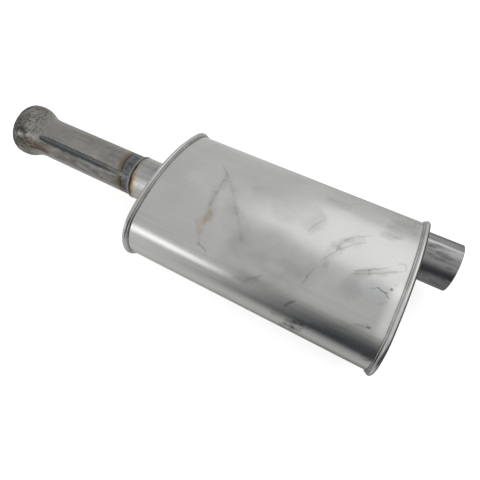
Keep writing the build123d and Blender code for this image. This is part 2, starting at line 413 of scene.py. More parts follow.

# %% [markdown]
# Painted shade darkens the creases and grooves beside the rims, the fold of the rear rim, the free
# edge of each bead and the rims as a whole, while a painted highlight brightens the crest of each
# bead. Both are narrow bands along X. A painted highlight also brightens the wrap beside the rear
# rim on its near side. The hood is the bend of the body towards the near side, where the rolled
# lines show most.

# %% The sheet's finish, put together
# Painted shade: creases, grooves and the rear fold in CREASES, free edges and whole rims in EDGES.
CREASES = [  # from, to, softness and strength
    (0.2697, 0.2714, 0.0009, 0.34), (0.2685, 0.2690, 0.0006, 0.22), (0.5944, 0.5958, 0.0009, 0.34),
    (0.5969, 0.5974, 0.0006, 0.10), (0.5955, 0.5980, 0.0012, 0.20),
]
EDGES = [  # unshaded at, shaded at and strength
    (0.6007, 0.6022, 0.50), (0.2650, 0.2636, 0.35), (0.5945, 0.5960, 0.07), (0.2716, 0.2700, 0.08),
]
# The painted shade of the rims, broken up a little by noise.
painted_rim_shade = sum(sheet.band(sheet.x, *place) * strength for *place, strength in CREASES)
painted_rim_shade = painted_rim_shade + sum(sheet.rise(sheet.x, *place) * strength for *place, strength in EDGES)
painted_rim_shade = painted_rim_shade * (0.55 + sheet.noise(60.0, 3.0, (1, 1, 1), 5.0, 0.3, 0.7) * 0.45)
shade = 1.0 - (wear_and_painted_light + scratched + scuffed + painted_rim_shade)
shade = shade * (0.94 + clouds * 0.06) * (0.965 + hand_marks * 0.045)
shade = shade * (1.0 - (1.0 - rolling) * (0.02 + hood * 0.05)) * (0.985 + fine_grain * 0.03)
# A painted highlight along the crest of each bead, weaker on the front rim.
painted_bead_highlight = sheet.band(sheet.x, 0.5990, 0.6000, 0.0012)
painted_bead_highlight = painted_bead_highlight + sheet.band(sheet.x, 0.2660, 0.2672, 0.0012) * 0.1
shade = shade * (1.0 + painted_rim_highlight * 0.40 + painted_bead_highlight * 0.30)
sheet.tone = sheet.blend(clouds, (0.612, 0.610, 0.592), (0.634, 0.632, 0.620))
sheet.stain(tan_stain * 0.36, (0.50, 0.40, 0.27))
sheet.stain(orange_mark * 0.35, (0.42, 0.25, 0.14))
sheet.stain(blue_patch * 0.55, (0.535, 0.560, 0.560))
sheet.shade(shade)
gloss = 0.205 + hand_marks * 0.045 + clouds * 0.03 + rolling * 0.02
gloss = gloss + wear_and_painted_light * 0.35 + scratched * 0.2 + blue_patch * 0.03
relief = rolling * (0.10 + hood * 0.25) + fine_grain * 0.20
sheet.finish(gloss, relief, 0.00006, 0.35)

# %% [markdown]
# The wrap is one sheet rolled round the oval, so it is a section carried along a path. That is
# what Geometry Nodes do well: a tree takes the oval as a curve, sweeps the sheet's section along
# it and stands the result up. Box modelling could do it too, but the tree keeps the sizes as
# named inputs, and the same small helpers then build the tree for the weld beads.

# %% Helpers for geometry node trees
def new_tree(name, floats, vectors=()):
    """A geometry tree, its named inputs as Numbers, and its output."""
    wires = bpy.data.node_groups.new(name, "GeometryNodeTree")
    kinds = {"Geometry": "Geometry", **dict.fromkeys(floats, "Float")}
    kinds.update({**dict.fromkeys(vectors, "Vector"), "Material": "Material"})
    for label, kind in kinds.items():
        wires.interface.new_socket(label, in_out="INPUT", socket_type="NodeSocket" + kind)
    wires.interface.new_socket("Geometry", in_out="OUTPUT", socket_type="NodeSocketGeometry")
    tree = Tree(wires)
    given = tree.node("NodeGroupInput").outputs
    result = tree.node("NodeGroupOutput").inputs["Geometry"]
    return tree, {label: Number(tree, given[label]) for label in kinds}, result


def stand_and_dress(tree, given, result, geometry, place, turn):
    """The last nodes of a tree: stand the geometry up, make it real and give it the material."""
    values = {"Geometry": geometry, "Translation": place, "Rotation": turn}
    standing = tree.first("GeometryNodeTransform", values)
    real = tree.first("GeometryNodeRealizeInstances", {"Geometry": standing})
    values = {"Geometry": real, "Material": given["Material"]}
    tree.give(result, tree.first("GeometryNodeSetMaterial", values))
    print(tree.wires.name, "has", len(tree.wires.nodes), "nodes")


def baked(name, carrier, tree, values):
    """Run a tree on an object, keep the result as a plain mesh and drop the carrier."""
    modifier = carrier.modifiers.new(tree.wires.name, "NODES")
    modifier.node_group = tree.wires
    for item in tree.wires.interface.items_tree:
        if item.item_type == "SOCKET" and item.in_out == "INPUT" and item.name in values:
            modifier[item.identifier] = values[item.name]
    bpy.context.view_layer.update()
    graph = bpy.context.evaluated_depsgraph_get()
    mesh = bpy.data.meshes.new_from_object(carrier.evaluated_get(graph), depsgraph=graph)
    carrier.modifiers.remove(modifier)
    bpy.data.objects.remove(carrier)
    mesh.name = name
    mesh.shade_smooth()
    return placed(name, mesh)


def path_curve(name, points, cyclic=True):
    """A curve of straight steps through the points."""
    curve = bpy.data.curves.new(name, "CURVE")
    curve.dimensions = "3D"
    spline = curve.splines.new("POLY")
    spline.points.add(len(points) - 1)
    for point, place in zip(spline.points, points):
        point.co = (*place, 1)
    spline.use_cyclic_u = cyclic
    return placed(name, curve)


print("geometry helpers ready")

# %% The tree that sweeps a sheet round the oval
WRAP_THICKNESS, WRAP_INSET = 1.25 * MM, 1.4 * MM
WRAP_START, WRAP_END = BODY_FRONT + WRAP_INSET, BODY_REAR - WRAP_INSET
sweep, given, result = new_tree("sheet_round_the_oval", ("Length", "Thickness", "Start"))
middle = given["Length"] * 0.5 + given["Start"]
values = {"Width": given["Thickness"], "Height": given["Length"]}
section = sweep.first("GeometryNodeCurvePrimitiveQuadrilateral", values, mode="RECTANGLE")
inward = sweep.first("ShaderNodeCombineXYZ", {"X": given["Thickness"] * -0.5})
seated = sweep.first("GeometryNodeTransform", {"Geometry": section, "Translation": inward})
path = sweep.first("GeometryNodeSetCurveNormal", {"Curve": given["Geometry"]}, mode="Z_UP")
swept = sweep.first("GeometryNodeCurveToMesh", {"Curve": path, "Profile Curve": seated})
lift = sweep.first("ShaderNodeCombineXYZ", {"X": middle})
stand_up = Matrix(((0, 0, 1), (1, 0, 0), (0, 1, 0))).to_euler()
stand_and_dress(sweep, given, result, swept, lift, stand_up)

# %% The wrap, swept
oval_path = path_curve("oval_path", [(y, z, 0) for y, z, ny, nz in around])
sizes = {"Length": WRAP_END - WRAP_START, "Thickness": WRAP_THICKNESS, "Start": WRAP_START}
wrap = baked("body_wrap", oval_path, sweep, {**sizes, "Material": sheet.material})
wrap.data.set_sharp_from_angle(angle=SHARP_ANGLE)
measured(wrap)

# %% [markdown]
# The two ends of the sheet are hooked together and pressed flat underneath. In section this lock
# seam has a round nose, a flat back and a ramp down to the sheet, so a short bar of that section
# lies along the belly. Its ends stop short of the rims, where the fold is opened out.

# %% The lock seam along the belly
SEAM_INSET, SEAM_HEIGHT, SEAM_NOSE = 14 * MM, 3.75 * MM, -5 * MM
BELLY = -HALF_HEIGHT


def bar_along_x(name, section, start, end, finish):
    """A closed bar with the given (y, z) section between two places along X."""
    width = len(section)
    points = [(start, y, z) for y, z in section] + [(end, y, z) for y, z in section]
    faces = [(j, (j + 1) % width, width + (j + 1) % width, width + j) for j in range(width)]
    faces += [tuple(range(width)), tuple(reversed(range(width, 2 * width)))]
    return closed_piece(name, points, faces, finish)


nose_radius = SEAM_HEIGHT / 2
nose = arc(SEAM_NOSE + nose_radius, BELLY - nose_radius, nose_radius, 90, 270, 16)
ramp = [(1.0 * MM, BELLY - SEAM_HEIGHT), (1.8 * MM, BELLY - 0.93 * SEAM_HEIGHT)]
foot = [(4.4 * MM, BELLY - 0.3 * MM), (5.0 * MM, BELLY + 0.4 * MM), (-3 * MM, BELLY + 0.4 * MM)]
seam_start, seam_end = BODY_FRONT + SEAM_INSET, BODY_REAR - SEAM_INSET
lock_seam = bar_along_x("lock_seam", nose + ramp + foot, seam_start, seam_end, sheet)
measured(lock_seam)

# %% [markdown]
# Each head is a pressed plate. Its face sits back inside the body and its skirt runs out to the
# rim, where it is rolled over the end of the wrap. The roll has a round bead at the free edge
# and a smaller fold beside it, with a fine groove between them. The whole head is one closed
# grid: the columns go round the oval and the rows go through the section, from the hole out to
# the rim and back again. That gives clean rows that no Boolean has to cut.

# %% The section of a head
HEAD_RECESS, HEAD_THICKNESS, CORNER = 12 * MM, 1.25 * MM, 3 * MM
SKIRT_FACE, SKIRT_INSIDE = -1.4 * MM, -2.65 * MM
BEAD_CENTRE, BEAD_DEPTH, BEAD_HEIGHT = (3.1 * MM, 0.775 * MM), 3.1 * MM, 3.425 * MM
FOLD_CENTRE, FOLD_DEPTH, FOLD_HEIGHT = (6.75 * MM, 1.15 * MM), 1.25 * MM, 1.3 * MM
FOLD_END, UNDERSIDE = 8.0 * MM, 0.1 * MM
TUBE_RADIUS, TUBE_BORE = 31.75 * MM, 30.25 * MM
TUBE_HOLE = TUBE_RADIUS + 0.1 * MM
NECK_FACE, OUTLET_FACE, OUTLET_SIDE = 216 * MM, 650 * MM, 67.3 * MM
SPOKE_STEPS = 12


def head_rim_section():
    """Points of the rolled rim and the skirt as (distance from the rim's face, outward)."""
    inner_corner = arc(HEAD_RECESS - CORNER, SKIRT_INSIDE - CORNER, CORNER, 0, 90, 8)
    bead = arc(*BEAD_CENTRE, BEAD_DEPTH, 270, 34, 40, BEAD_HEIGHT)
    fold = arc(*FOLD_CENTRE, FOLD_DEPTH, 125, 0, 12, FOLD_HEIGHT)
    slot = [(FOLD_END, UNDERSIDE), (WRAP_INSET, UNDERSIDE), (WRAP_INSET, SKIRT_FACE)]
    back_centre = HEAD_RECESS + HEAD_THICKNESS - CORNER
    outer_corner = arc(back_centre, SKIRT_FACE - CORNER, CORNER, 90, 0, 8)
    return inner_corner + bead + fold + slot + outer_corner


def head(name, face_x, direction, hole_y):
    """A head whose rim face is at face_x, built along +X or -X, with a hole for one tube."""
    section = head_rim_section()
    front_x, back_x = section[0][0], section[-1][0]
    steps = [k / SPOKE_STEPS for k in range(SPOKE_STEPS, 0, -1)]
    columns = []
    for y, z, ny, nz in around:
        edge = Vector((y + ny * section[0][1], z + nz * section[0][1]))
        spoke = edge - Vector((hole_y, 0))
        hole = Vector((hole_y, 0)) + spoke.normalized() * TUBE_HOLE
        column = [(front_x, *edge.lerp(hole, f)) for f in steps]
        column += [(s, y + ny * n, z + nz * n) for s, n in section]
        column += [(back_x, *edge.lerp(hole, f)) for f in reversed(steps)]
        columns.append([(face_x + direction * x, py, pz) for x, py, pz in column])
    return closed_grid(name, columns, sheet)


inlet_head = head("inlet_end_plate", BODY_FRONT, 1, 0)
outlet_head = head("outlet_end_plate", BODY_REAR, -1, OUTLET_SIDE)
measured(inlet_head, outlet_head)

# %% [markdown]
# The necks are welded tube, left bare. Its own seam shows as a fine bright line along the outlet,
# and the outlet is worn in streaks along its length. On the inlet neck, the weld of the pipe has
# left heat colours: the oxide is thickest beside the weld and thins away from it, so the colour
# goes from nearly black over brown and straw to bare metal. A ramp over the distance from the
# weld gives that, once noise has made the distance uneven.

# %% The finish of the bare tubes
HEAT_LENGTH = 26.0
HEAT_STOPS = [
    (0.0, (0.030, 0.026, 0.024)), (0.045, (0.060, 0.040, 0.028)), (0.10, (0.27, 0.165, 0.095)),
    (0.22, (0.56, 0.43, 0.30)), (0.34, (0.62, 0.58, 0.48)), (0.44, (0.585, 0.61, 0.56)),
    (0.56, (0.60, 0.56, 0.585)), (0.80, (0.60, 0.595, 0.58)), (1.0, (0.56, 0.56, 0.555)),
]
tube = Finish("bare_tube_steel")
tube_clouds = tube.noise(30.0, 4.0, (0.6, 1.3, 1.3), 2.0, 0.32, 0.68)
tube_streaks = tube.noise(170.0, 4.0, (0.05, 1, 1), 5.5, 0.35, 0.65)
broad_streaks = tube.noise(75.0, 3.0, (0.12, 1, 1), 9.1, 0.38, 0.62)
tube_grain = tube.noise(1400.0, 2.0, (0.4, 1, 1), 3.0, 0.3, 0.7)
on_outlet = tube.rise(tube.x, 0.598, 0.6)
outlet_angle = tube.maths("ARCTAN2", tube.z, tube.y - OUTLET_SIDE)
inlet_angle = tube.maths("ARCTAN2", tube.z, tube.y)

uneven = tube.noise(60.0, 3.0, (1, 1, 1), 6.0, 0.2, 0.8)
heat_reach = (tube.x - NECK_FACE) * TO_MM + (uneven - 0.5) * 2.2
warm_side = tube.rise(inlet_angle, 1.75, 2.5)
heat = tube.ramp(heat_reach / HEAT_LENGTH, HEAT_STOPS)
heated = tube.rise(tube.x, 0.246, 0.224) * (0.35 + warm_side * 0.65)
edge_burn = tube.rise(heat_reach, 2.4, 0.6)

tube.tone = tube.blend(tube_clouds, (0.53, 0.53, 0.525), (0.63, 0.63, 0.63))
worn_spot = tube.noise(150.0, 6.0, (0.45, 1, 1), 8.4, 0.53, 0.64)
# Painted shade: the outlet is darker on the far side of its own seam line.
painted_outlet_far_shade = tube.rise(outlet_angle, 1.50, 1.46) * on_outlet
worn_reach = 0.35 + tube.rise(tube.x, 0.628, 0.606) * 0.4
tube.stain(worn_spot * on_outlet * worn_reach, (0.17, 0.17, 0.175))
tube.stain(painted_outlet_far_shade * 0.55, (0.25, 0.25, 0.25))
rubbed = tube.noise(120.0, 6.0, (0.45, 1, 1), 30.0, 0.50, 0.60) * on_outlet
rubbed = rubbed * tube.rise(outlet_angle, 1.50, 1.56) * tube.rise(outlet_angle, 2.15, 1.90)
tube.stain(rubbed * 0.45, (0.90, 0.90, 0.90))
tube.stain(tube.maths("MAXIMUM", heated, edge_burn), heat)
neck_smoke = tube.noise(48.0, 4.0, (0.8, 1, 1), 12.0, 0.45, 0.62)
neck_smoke = neck_smoke * tube.rise(tube.x, 0.236, 0.256) * tube.rise(tube.x, 0.285, 0.268)
neck_smoke = neck_smoke * tube.rise(inlet_angle, 2.1, 1.6)
tube.stain(neck_smoke * 0.6, (0.115, 0.105, 0.095))
own_seam = tube.band(outlet_angle, 1.505, 1.530, 0.008) * on_outlet
tube.stain(own_seam * 0.8, (0.72, 0.72, 0.71))
tube_shade = (0.84 + tube_streaks * 0.17) * (0.90 + broad_streaks * 0.11)
tube_shade = tube_shade * (0.97 + tube_grain * 0.05)
# Painted light: the top of the inlet neck and two bands on the outlet's near side are darkened as
# painted shade, and a band on the neck's near side is brightened as a painted highlight.
painted_neck_top_shade = tube.rise(inlet_angle, 2.05, 1.75) * tube.rise(tube.x, 0.3, 0.29)
painted_outlet_front_shade = tube.rise(outlet_angle, 1.50, 1.56) * tube.rise(outlet_angle, 2.20, 2.05) * on_outlet
painted_outlet_low_shade = tube.rise(outlet_angle + tube_clouds * 0.1, 2.10, 2.25)
painted_outlet_low_shade = painted_outlet_low_shade * tube.rise(outlet_angle, 2.95, 2.60) * on_outlet
painted_neck_highlight = tube.band(inlet_angle, 2.25, 2.62, 0.12) * tube.rise(tube.x, 0.218, 0.226)
painted_neck_highlight = painted_neck_highlight * tube.rise(tube.x, 0.3, 0.29)
light_zones = 1.0 + painted_neck_highlight * 0.38 - painted_neck_top_shade * 0.22 - painted_outlet_front_shade * 0.46
tube_shade = tube_shade * (light_zones - painted_outlet_low_shade * 0.42)
tube.shade(tube_shade)
tube_gloss = 0.17 + tube_clouds * 0.06 + tube_streaks * 0.07 + worn_spot * 0.08
tube_relief = tube_streaks * 0.5 + tube_grain * 0.2 + own_seam * 1.2
tube.finish(tube_gloss, tube_relief, 0.00006, 0.5)

# %% [markdown]
# Pipes and tubes are turned: a section is carried round a line along X. The ends of a sawn tube
# are never razor sharp, so each end gets a tiny round. The pipe's mouth was flared on a tool and
# left rough, so its radius wavers a little there. A sum of a few sines does that without noise,
# and it fades out along the pipe.

# %% Turned tubes
ROUND_EDGE = 0.35 * MM
INLET_TUBE_END, OUTLET_TUBE_START = 534.75 * MM, 331.25 * MM


def turned(name, section, finish, centre_y=0.0, columns=160, waver=None):
    """A closed wall from a ring of (x, radius) points carried round a line along X."""
    rows = []
    for k in range(columns):
        angle = 2 * math.pi * k / columns
        row = []
        for x, radius in section:
            r = radius + (waver(x, angle) if waver else 0)
            row.append((x, centre_y + r * math.cos(angle), r * math.sin(angle)))
        rows.append(row)
    return closed_grid(name, rows, finish)


def tube_section(start, end):
    """The wall of a straight tube with slightly rounded ends, as a ring of (x, radius)."""
    outer, bore = TUBE_RADIUS - ROUND_EDGE, TUBE_BORE + ROUND_EDGE
    return (
        arc(end - ROUND_EDGE, outer, ROUND_EDGE, 90, 0, 3)
        + arc(end - ROUND_EDGE, bore, ROUND_EDGE, 0, -90, 3)
        + arc(start + ROUND_EDGE, bore, ROUND_EDGE, -90, -180, 3)
        + arc(start + ROUND_EDGE, outer, ROUND_EDGE, 180, 90, 3)
    )


inlet_tube = turned("inlet_neck_tube", tube_section(NECK_FACE, INLET_TUBE_END), tube)
outlet_section = tube_section(OUTLET_TUBE_START, OUTLET_FACE)
outlet_tube = turned("outlet_neck_tube", outlet_section, tube, OUTLET_SIDE)
measured(inlet_tube, outlet_tube)

# %% [markdown]
# The inlet pipe is raw steel with its mill scale on: brownish grey, mottled, and never polished.
# The flaring tool and its oil have left black blotches round the mouth. The pipe was rolled from
# strip and welded along, which left a dark zone on both sides of that seam, brown patches below
# it, and a blue-grey band with a brown edge where the joint to the neck was welded.

# %% The finish of the raw pipe
raw = Finish("raw_pipe_mill_scale")
scale_clouds = raw.noise(26.0, 5.0, (0.7, 1, 1), 1.0, 0.33, 0.67)
scale_mottle = raw.noise(190.0, 5.0, (0.6, 1, 1), 3.3, 0.32, 0.68)
scale_grain = raw.noise(900.0, 3.0, (1, 1, 1), 5.0, 0.3, 0.7)
drawn_lines = raw.noise(240.0, 2.0, (0.04, 1, 1), 8.0, 0.3, 0.7)
pipe_angle = raw.maths("ARCTAN2", raw.z, raw.y) * TO_DEGREES
ragged = (raw.noise(95.0, 4.0, (1, 1, 1), 11.0, 0.2, 0.8) - 0.5) * 5.0
from_seam = pipe_angle - 135.0 + ragged * 0.35
along = raw.x * TO_MM

raw.tone = raw.blend(scale_clouds, (0.235, 0.222, 0.205), (0.335, 0.325, 0.308))
raw.stain(scale_mottle * 0.40, (0.40, 0.39, 0.37))
below_seam = raw.rise(pipe_angle, 141, 149) * raw.rise(pipe_angle, 232, 205)
brown_spots = raw.noise(52.0, 5.0, (0.55, 1, 1), 15.0, 0.40, 0.58) * below_seam
throat_brown = raw.rise(pipe_angle, 143, 152) * raw.band(along + ragged * 1.5, 30, 62, 10)
raw.stain(brown_spots * raw.rise(along, 215, 150) * 0.55, (0.205, 0.158, 0.125))
raw.stain(throat_brown * (0.42 + brown_spots * 0.40), (0.150, 0.105, 0.078))
green_glow = raw.band(from_seam, -26, -8, 6) * raw.band(along, 44, 62, 8)
raw.stain(green_glow * 0.25, (0.34, 0.35, 0.22))
pale_flecks = raw.noise(430.0, 3.0, (0.45, 1, 1), 21.0, 0.60, 0.70)
beside_seam = raw.band(from_seam, -17, -8, 3.0) * raw.rise(along, 60, 130) * raw.rise(along, 208, 196)
raw.stain(pale_flecks * (0.18 + beside_seam * 0.8), (0.46, 0.45, 0.43))

# %% Blotches at the mouth and the zone beside the seam
near_mouth = raw.rise(along, 46, 16)
blotch = raw.noise(70.0, 6.0, (1, 1, 1), 31.0, 0.47, 0.60) * near_mouth
specks = raw.noise(310.0, 5.0, (1, 1, 1), 37.0, 0.53, 0.60) * raw.rise(along, 66, 10)
mouth_edge = raw.rise(along + ragged * 1.2, 9.0, 1.0)
big_blotch = raw.band(pipe_angle + ragged * 3.0, 126, 140, 7) * raw.band(along + ragged * 1.6, 6, 21, 5)
low_blotch = raw.band(pipe_angle + ragged * 3.0, 158, 172, 7) * raw.band(along + ragged, 2, 9, 3)
raw.stain(blotch * 0.52, (0.105, 0.092, 0.070))
raw.stain(specks * 0.80, (0.040, 0.036, 0.030))
raw.stain(raw.maths("MAXIMUM", big_blotch * 0.9, low_blotch * 0.75), (0.045, 0.040, 0.034))
raw.stain(mouth_edge * 0.55, (0.06, 0.055, 0.048))

zone_edge = raw.rise(along, 40, 75) * 2.0 - raw.rise(along, 110, 200) * 2.5
seam_zone = raw.rise(from_seam + zone_edge, -9.5, -5.5) * raw.rise(from_seam - zone_edge, 11.0, 6.5)
seam_zone = seam_zone * raw.rise(along + ragged * 2.0, 34, 58) * raw.rise(along, 208, 202)
seam_tone = raw.blend(scale_mottle, (0.055, 0.062, 0.064), (0.120, 0.128, 0.130))
# A painted highlight along the upper side of the seam, stronger towards the joint.
painted_seam_highlight = raw.band(from_seam, -5.0, -1.5, 1.5) * (0.50 + raw.rise(along, 120, 190) * 0.50)
seam_tone = raw.blend(painted_seam_highlight * 0.90, seam_tone, (0.33, 0.335, 0.33))
raw.stain(seam_zone * 0.92, seam_tone)

# %% The heat band beside the joint, and the pipe's finish put together
turned_angle = (pipe_angle - 30.0) * (math.pi / 180)
band_edge = 196.0 - raw.maths("COSINE", turned_angle) * 3.5 + ragged * 0.35
from_band = along - band_edge
brown_fade = raw.rise(from_band, -9.0, -0.5) * raw.rise(from_band, 3.4, 1.6)
dark_line = raw.band(from_band, 0.4, 3.0, 0.9)
straw_glow = raw.rise(from_band, -15, -4) * raw.rise(from_band, -0.5, -3.5)
straw_glow = straw_glow * raw.rise(pipe_angle, 140, 160)
oxide = raw.rise(from_band, 2.4, 5.0)
oxide_tone = raw.blend(scale_mottle, (0.085, 0.096, 0.108), (0.200, 0.212, 0.222))
dull_oxide = scale_clouds * raw.rise(from_band, 9.0, 3.0) * 0.6
oxide_tone = raw.blend(dull_oxide, oxide_tone, (0.070, 0.070, 0.072))
raw.stain(straw_glow * 0.45, (0.36, 0.33, 0.17))
raw.stain(brown_fade * 0.75, (0.17, 0.105, 0.062))
raw.stain(dark_line * 0.85, (0.050, 0.040, 0.032))
raw.stain(oxide * 0.92, oxide_tone)
belly_grime = raw.noise(120.0, 5.0, (0.5, 1, 1), 44.0, 0.40, 0.62) * raw.rise(pipe_angle, 140, 150)
raw_shade = (0.93 + scale_grain * 0.14) * (0.94 + drawn_lines * 0.12) * (1.0 - belly_grime * 0.35)
raw_shade = raw_shade * (1.0 - raw.rise(pipe_angle, 140, 152) * 0.06)
raw.shade(raw_shade)
raw_gloss = 0.31 + scale_clouds * 0.07 + scale_mottle * 0.10 - seam_zone * 0.05
raw_relief = scale_mottle * 0.5 + scale_grain * 0.35 + drawn_lines * 0.25 - blotch * 0.4
raw.finish(raw_gloss, raw_relief, 0.00009, 0.5)

# %% The flared pipe
PIPE_RADIUS, PIPE_WALL, PIPE_END = 30.15 * MM, 1.6 * MM, 254 * MM
MOUTH_RADIUS, MOUTH_LIP, FLARE_LENGTH = 40.3 * MM, 6 * MM, 40 * MM
LIP_EDGE, INNER_LIP_EDGE, WAVER_LENGTH = 0.5 * MM, 0.4 * MM, 30 * MM
flare_turn = 2 * math.atan2(MOUTH_RADIUS - PIPE_RADIUS, FLARE_LENGTH)
LIP_BEND = 0.26 * FLARE_LENGTH / math.sin(flare_turn)
THROAT_BEND = FLARE_LENGTH / math.sin(flare_turn) - LIP_BEND
BEND_STEPS = 14


def flare_line(depth):
    """The outer face of the wall as (x, radius), or the face so far inside it."""
    turn = math.degrees(flare_turn)
    opening = arc(MOUTH_LIP, MOUTH_RADIUS - LIP_BEND, LIP_BEND - depth, 90, 90 - turn, BEND_STEPS)
    flare_end, throat_centre = MOUTH_LIP + FLARE_LENGTH, PIPE_RADIUS + THROAT_BEND
    closing = arc(flare_end, throat_centre, THROAT_BEND + depth, -90 - turn, -90, BEND_STEPS)
    return opening + closing[1:]


def mouth_waver(x, angle):
    """How far the rough mouth departs from round, fading out along the flare."""
    fade = max(0.0, 1 - x / WAVER_LENGTH) ** 2
    waves = 0.16 * math.sin(5 * angle + 0.6) + 0.12 * math.sin(11 * angle + 2.0)
    waves += 0.08 * math.sin(23 * angle)
    return (waves - 0.36) * MM * fade


bore = PIPE_RADIUS - PIPE_WALL
lip = arc(LIP_EDGE, MOUTH_RADIUS - LIP_EDGE, LIP_EDGE, 180, 90, 4)
inner_centre = MOUTH_RADIUS - PIPE_WALL + INNER_LIP_EDGE
inner_lip = arc(INNER_LIP_EDGE, inner_centre, INNER_LIP_EDGE, 270, 180, 4)
spans = [80 * MM, 120 * MM, 160 * MM, 200 * MM, PIPE_END]
outside = lip + flare_line(0) + [(x, PIPE_RADIUS) for x in spans]
inside = [(x, bore) for x in reversed(spans)] + flare_line(PIPE_WALL)[::-1] + inner_lip
pipe = turned("flared_inlet_pipe", outside + inside, raw, columns=192, waver=mouth_waver)
measured(pipe)

# %% [markdown]
# Weld metal is as hard to draw as raw pipe: its ripples are shape, but its colour is oxide, from
# blue-grey to a paler grey where the slag came off. The hollows between the ripples hold dirt, so
# the tone leans on noise at the ripples' own scale.

# %% The finish of the weld beads
PIPE_SEAM_DEGREES = 135.5
weld = Finish("weld_metal")
weld_clouds = weld.noise(110.0, 4.0, (1, 1, 1), 2.0, 0.35, 0.65)
weld_specks = weld.noise(620.0, 4.0, (1, 1, 1), 6.0, 0.35, 0.68)
weld.tone = weld.blend(weld_clouds, (0.150, 0.160, 0.162), (0.285, 0.290, 0.280))
weld.stain(weld_specks * 0.35, (0.075, 0.068, 0.060))
joint_strip = weld.band(weld.x, 0.2105, 0.2155, 0.001)
weld.stain(joint_strip * 0.55, (0.315, 0.325, 0.300))
joint_burn = weld.rise(weld.x, 0.2148, 0.2158) * weld.rise(weld.x, 0.25, 0.24)
weld.stain(joint_burn * 0.9, (0.035, 0.028, 0.024))
on_seam = weld.rise(weld.x, 0.2085, 0.2045)
seam_side = weld.maths("ARCTAN2", weld.z, weld.y) * TO_DEGREES - PIPE_SEAM_DEGREES
# Painted shade on the lower side of the seam bead, towards the joint.
painted_seam_bead_shade = on_seam * weld.rise(seam_side, -3.0, 1.5) * weld.rise(weld.x, 0.215, 0.165)
weld.stain(on_seam * weld.rise(weld.x, 0.205, 0.120) * 0.6, (0.085, 0.093, 0.096))
weld.stain(painted_seam_bead_shade * 0.85, (0.055, 0.062, 0.066))
# A painted highlight on the upper side of the seam bead.
weld.stain(on_seam * weld.rise(seam_side, -1.0, -3.5) * 0.35, (0.22, 0.225, 0.22))
weld_gloss = 0.36 + weld_clouds * 0.10 + weld_specks * 0.08
weld.finish(weld_gloss, weld_specks, 0.00010, 0.5)

# %% [markdown]
# A weld bead is a row of small pools, each frozen over the edge of the last, so seen from above
# it is a string of crescents. It follows a path and it repeats, which makes it a second job for
# Geometry Nodes. The tree sweeps an oval section along the path and then pushes every point in
# or out by a scalloped wave of the distance travelled. The wave lags at the sides of the bead,
# which bends the ridges into crescents, and a seeded noise makes the heap uneven.

# %% The tree for weld beads
SECTION_POINTS, STEPS_PER_RIPPLE = 14, 7.0
BEAD_SIZES = ("Half Width", "Half Height", "Ripple Length", "Ripple Height", "Unevenness")
beads, given, result = new_tree("rippled_weld_bead", (*BEAD_SIZES, "Seed"), ("Place", "Turn"))


def captured(geometry, label, value):
    """Geometry that carries a value on its points, and that value for later nodes."""
    kept = beads.node("GeometryNodeCaptureAttribute")
    kept.capture_items.new("FLOAT", label)
    beads.give(kept.inputs["Geometry"], geometry)
    beads.give(kept.inputs[label], value)
    return kept.outputs["Geometry"], Number(beads, kept.outputs[label])


values = {"Curve": given["Geometry"], "Length": given["Ripple Length"] / STEPS_PER_RIPPLE}
fine_path = beads.first("GeometryNodeResampleCurve", values, mode="LENGTH")
on_curve = beads.node("GeometryNodeSplineParameter").outputs
fine_path, travel = captured(fine_path, "Travel", on_curve["Length"])
flat_path = beads.first("GeometryNodeSetCurveNormal", {"Curve": fine_path}, mode="Z_UP")
values = {"Resolution": SECTION_POINTS, "Radius": 1.0}
circle = beads.first("GeometryNodeCurvePrimitiveCircle", values, mode="RADIUS")
values = {"X": given["Half Height"], "Y": given["Half Width"], "Z": 1.0}
squash = beads.first("ShaderNodeCombineXYZ", values)
section = beads.first("GeometryNodeTransform", {"Geometry": circle, "Scale": squash})
section, lap = captured(section, "Lap", on_curve["Factor"])
values = {"Curve": flat_path, "Profile Curve": section, "Fill Caps": True}
bead = beads.first("GeometryNodeCurveToMesh", values)
across = beads.maths("SINE", lap * (2 * math.pi))
lag = beads.maths("POWER", across, 2.0) * 0.8
phase = (travel / given["Ripple Length"] - lag) * math.pi
scallop = beads.maths("ABSOLUTE", beads.maths("SINE", phase))
ripple = (scallop - 0.6) * given["Ripple Height"]
values = {"W": given["Seed"], "Scale": 130.0, "Detail": 2.0}
wander = Number(beads, beads.first("ShaderNodeTexNoise", values, noise_dimensions="4D"))
heap = (wander - 0.55) * given["Unevenness"]
values = {0: beads.first("GeometryNodeInputNormal"), "Scale": ripple + heap}
push = beads.first("ShaderNodeVectorMath", values, operation="SCALE")
pushed = beads.first("GeometryNodeSetPosition", {"Geometry": bead, "Offset": push})
stand_and_dress(beads, given, result, pushed, given["Place"], given["Turn"])

# %% The weld beads themselves
RING_STEPS = 180
JOINT_PLACE, JOINT_RADIUS, NECK_BEAD_OVERLAP = 213.6 * MM, 30.05 * MM, 0.4 * MM
PIPE_SEAM_ANGLE = math.radians(PIPE_SEAM_DEGREES)


def welded(name, path, sizes, seed, place, turn):
    """A bead along a path, its sizes in millimetres and in the order of BEAD_SIZES."""
    values = {label: size * MM for label, size in zip(BEAD_SIZES, sizes)}
    values.update({"Seed": seed, "Place": place, "Turn": turn, "Material": weld.material})
    piece = baked(name, path, beads, values)
    measured(piece)
    return piece


def ring_bead(name, centre_x, centre_y, radius, sizes, seed):
    """A bead round a tube that runs along X."""
    angles = [2 * math.pi * k / RING_STEPS for k in range(RING_STEPS)]
    ring = [(radius * math.cos(a), radius * math.sin(a), 0) for a in angles]
    path = path_curve(name + "_path", ring)
    return welded(name, path, sizes, seed, (centre_x, centre_y, 0), tuple(stand_up))


